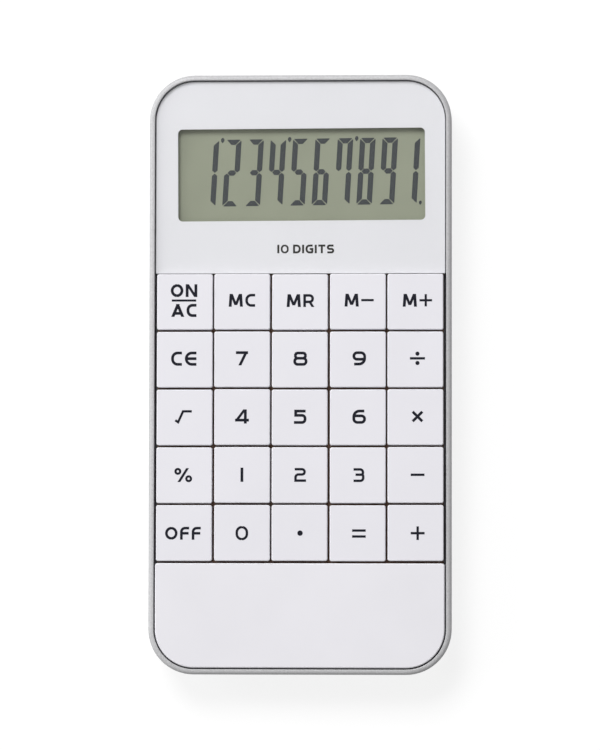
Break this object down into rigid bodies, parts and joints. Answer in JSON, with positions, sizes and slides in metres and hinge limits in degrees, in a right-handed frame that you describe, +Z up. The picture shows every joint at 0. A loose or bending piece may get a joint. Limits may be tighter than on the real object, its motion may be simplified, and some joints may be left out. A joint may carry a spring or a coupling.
{
  "type": "desk calculator",
  "caption": "Slim flat desk calculator with a wide display over a square grid of push keys, a silver rim, rubber feet and a battery door that slides off the back.",
  "frame": {"origin": "under the middle of the body, on the surface that the feet stand on", "axes": "+X to the right of the face, +Y towards the display, +Z up, out of the face"},
  "size_m": [0.06, 0.119, 0.01],
  "materials": {
    "shell_white": "fine satin moulding",
    "rim_silver": "satin silver lacquer",
    "chassis_dark": "matt brown-grey moulding",
    "lens_clear": "clear polished acrylic",
    "mask_white": "white printed film",
    "panel_white": "satin white moulding",
    "display_film": "grey-green polarising film",
    "display_glass": "clear thin glass",
    "strip_rubber": "layered conductive rubber",
    "keypad_rubber": "translucent grey silicone",
    "carbon_rubber": "carbon-filled rubber",
    "board_green": "green solder mask on glass-epoxy",
    "chip_epoxy": "glossy black epoxy",
    "component_ceramic": "fired ceramic",
    "cell_steel": "nickel-plated steel",
    "contact_brass": "nickel-plated spring brass",
    "screw_steel": "zinc-plated steel",
    "foot_rubber": "grey rubber",
    "key_white": "satin white moulding"
  },
  "bodies": {
    "calculator_body": {"rear_cover": "shell_white", "bezel_ring": "rim_silver", "front_chassis": "chassis_dark", "display_lens": "lens_clear", "display_mask": "mask_white", "lower_panel": "panel_white", "front_polariser": "display_film", "lcd_cell": "display_glass", "rear_reflector": "display_film", "lcd_holder": "chassis_dark", "zebra_strip": "strip_rubber", "rubber_keypad": "keypad_rubber", "carbon_pills": "carbon_rubber", "circuit_board": "board_green", "chip_blob": "chip_epoxy", "capacitors": "component_ceramic", "resistors": "component_ceramic", "battery_cell": "cell_steel", "battery_contact_minus": "contact_brass", "battery_contact_plus": "contact_brass", "case_screws": "screw_steel", "board_screws": "screw_steel", "rubber_feet": "foot_rubber"},
    "battery_door": {"battery_door": "shell_white"},
    "key_on_ac": {"key_on_ac": "key_white"},
    "key_mc": {"key_mc": "key_white"},
    "key_mr": {"key_mr": "key_white"},
    "key_m_minus": {"key_m_minus": "key_white"},
    "key_m_plus": {"key_m_plus": "key_white"},
    "key_ce": {"key_ce": "key_white"},
    "key_7": {"key_7": "key_white"},
    "key_8": {"key_8": "key_white"},
    "key_9": {"key_9": "key_white"},
    "key_divide": {"key_divide": "key_white"},
    "key_root": {"key_root": "key_white"},
    "key_4": {"key_4": "key_white"},
    "key_5": {"key_5": "key_white"},
    "key_6": {"key_6": "key_white"},
    "key_multiply": {"key_multiply": "key_white"},
    "key_percent": {"key_percent": "key_white"},
    "key_1": {"key_1": "key_white"},
    "key_2": {"key_2": "key_white"},
    "key_3": {"key_3": "key_white"},
    "key_minus": {"key_minus": "key_white"},
    "key_off": {"key_off": "key_white"},
    "key_0": {"key_0": "key_white"},
    "key_point": {"key_point": "key_white"},
    "key_equals": {"key_equals": "key_white"},
    "key_plus": {"key_plus": "key_white"}
  },
  "joints": [
    {"name": "press_key_on_ac", "type": "slide", "parent": "calculator_body", "child": "key_on_ac", "axis": [0, 0, -1], "range_m": [0, 0.0008], "stiffness_N_per_m": 900, "springref_m": -0.0003, "deforming": ["rubber_keypad", "carbon_pills"]},
    {"name": "press_key_mc", "type": "slide", "parent": "calculator_body", "child": "key_mc", "axis": [0, 0, -1], "range_m": [0, 0.0008], "stiffness_N_per_m": 900, "springref_m": -0.0003, "deforming": ["rubber_keypad", "carbon_pills"]},
    {"name": "press_key_mr", "type": "slide", "parent": "calculator_body", "child": "key_mr", "axis": [0, 0, -1], "range_m": [0, 0.0008], "stiffness_N_per_m": 900, "springref_m": -0.0003, "deforming": ["rubber_keypad", "carbon_pills"]},
    {"name": "press_key_m_minus", "type": "slide", "parent": "calculator_body", "child": "key_m_minus", "axis": [0, 0, -1], "range_m": [0, 0.0008], "stiffness_N_per_m": 900, "springref_m": -0.0003, "deforming": ["rubber_keypad", "carbon_pills"]},
    {"name": "press_key_m_plus", "type": "slide", "parent": "calculator_body", "child": "key_m_plus", "axis": [0, 0, -1], "range_m": [0, 0.0008], "stiffness_N_per_m": 900, "springref_m": -0.0003, "deforming": ["rubber_keypad", "carbon_pills"]},
    {"name": "press_key_ce", "type": "slide", "parent": "calculator_body", "child": "key_ce", "axis": [0, 0, -1], "range_m": [0, 0.0008], "stiffness_N_per_m": 900, "springref_m": -0.0003, "deforming": ["rubber_keypad", "carbon_pills"]},
    {"name": "press_key_7", "type": "slide", "parent": "calculator_body", "child": "key_7", "axis": [0, 0, -1], "range_m": [0, 0.0008], "stiffness_N_per_m": 900, "springref_m": -0.0003, "deforming": ["rubber_keypad", "carbon_pills"]},
    {"name": "press_key_8", "type": "slide", "parent": "calculator_body", "child": "key_8", "axis": [0, 0, -1], "range_m": [0, 0.0008], "stiffness_N_per_m": 900, "springref_m": -0.0003, "deforming": ["rubber_keypad", "carbon_pills"]},
    {"name": "press_key_9", "type": "slide", "parent": "calculator_body", "child": "key_9", "axis": [0, 0, -1], "range_m": [0, 0.0008], "stiffness_N_per_m": 900, "springref_m": -0.0003, "deforming": ["rubber_keypad", "carbon_pills"]},
    {"name": "press_key_divide", "type": "slide", "parent": "calculator_body", "child": "key_divide", "axis": [0, 0, -1], "range_m": [0, 0.0008], "stiffness_N_per_m": 900, "springref_m": -0.0003, "deforming": ["rubber_keypad", "carbon_pills"]},
    {"name": "press_key_root", "type": "slide", "parent": "calculator_body", "child": "key_root", "axis": [0, 0, -1], "range_m": [0, 0.0008], "stiffness_N_per_m": 900, "springref_m": -0.0003, "deforming": ["rubber_keypad", "carbon_pills"]},
    {"name": "press_key_4", "type": "slide", "parent": "calculator_body", "child": "key_4", "axis": [0, 0, -1], "range_m": [0, 0.0008], "stiffness_N_per_m": 900, "springref_m": -0.0003, "deforming": ["rubber_keypad", "carbon_pills"]},
    {"name": "press_key_5", "type": "slide", "parent": "calculator_body", "child": "key_5", "axis": [0, 0, -1], "range_m": [0, 0.0008], "stiffness_N_per_m": 900, "springref_m": -0.0003, "deforming": ["rubber_keypad", "carbon_pills"]},
    {"name": "press_key_6", "type": "slide", "parent": "calculator_body", "child": "key_6", "axis": [0, 0, -1], "range_m": [0, 0.0008], "stiffness_N_per_m": 900, "springref_m": -0.0003, "deforming": ["rubber_keypad", "carbon_pills"]},
    {"name": "press_key_multiply", "type": "slide", "parent": "calculator_body", "child": "key_multiply", "axis": [0, 0, -1], "range_m": [0, 0.0008], "stiffness_N_per_m": 900, "springref_m": -0.0003, "deforming": ["rubber_keypad", "carbon_pills"]},
    {"name": "press_key_percent", "type": "slide", "parent": "calculator_body", "child": "key_percent", "axis": [0, 0, -1], "range_m": [0, 0.0008], "stiffness_N_per_m": 900, "springref_m": -0.0003, "deforming": ["rubber_keypad", "carbon_pills"]},
    {"name": "press_key_1", "type": "slide", "parent": "calculator_body", "child": "key_1", "axis": [0, 0, -1], "range_m": [0, 0.0008], "stiffness_N_per_m": 900, "springref_m": -0.0003, "deforming": ["rubber_keypad", "carbon_pills"]},
    {"name": "press_key_2", "type": "slide", "parent": "calculator_body", "child": "key_2", "axis": [0, 0, -1], "range_m": [0, 0.0008], "stiffness_N_per_m": 900, "springref_m": -0.0003, "deforming": ["rubber_keypad", "carbon_pills"]},
    {"name": "press_key_3", "type": "slide", "parent": "calculator_body", "child": "key_3", "axis": [0, 0, -1], "range_m": [0, 0.0008], "stiffness_N_per_m": 900, "springref_m": -0.0003, "deforming": ["rubber_keypad", "carbon_pills"]},
    {"name": "press_key_minus", "type": "slide", "parent": "calculator_body", "child": "key_minus", "axis": [0, 0, -1], "range_m": [0, 0.0008], "stiffness_N_per_m": 900, "springref_m": -0.0003, "deforming": ["rubber_keypad", "carbon_pills"]},
    {"name": "press_key_off", "type": "slide", "parent": "calculator_body", "child": "key_off", "axis": [0, 0, -1], "range_m": [0, 0.0008], "stiffness_N_per_m": 900, "springref_m": -0.0003, "deforming": ["rubber_keypad", "carbon_pills"]},
    {"name": "press_key_0", "type": "slide", "parent": "calculator_body", "child": "key_0", "axis": [0, 0, -1], "range_m": [0, 0.0008], "stiffness_N_per_m": 900, "springref_m": -0.0003, "deforming": ["rubber_keypad", "carbon_pills"]},
    {"name": "press_key_point", "type": "slide", "parent": "calculator_body", "child": "key_point", "axis": [0, 0, -1], "range_m": [0, 0.0008], "stiffness_N_per_m": 900, "springref_m": -0.0003, "deforming": ["rubber_keypad", "carbon_pills"]},
    {"name": "press_key_equals", "type": "slide", "parent": "calculator_body", "child": "key_equals", "axis": [0, 0, -1], "range_m": [0, 0.0008], "stiffness_N_per_m": 900, "springref_m": -0.0003, "deforming": ["rubber_keypad", "carbon_pills"]},
    {"name": "press_key_plus", "type": "slide", "parent": "calculator_body", "child": "key_plus", "axis": [0, 0, -1], "range_m": [0, 0.0008], "stiffness_N_per_m": 900, "springref_m": -0.0003, "deforming": ["rubber_keypad", "carbon_pills"]},
    {"name": "slide_battery_door", "type": "slide", "parent": "calculator_body", "child": "battery_door", "axis": [0, -1, 0], "range_m": [0, 0.02]}
  ]
}
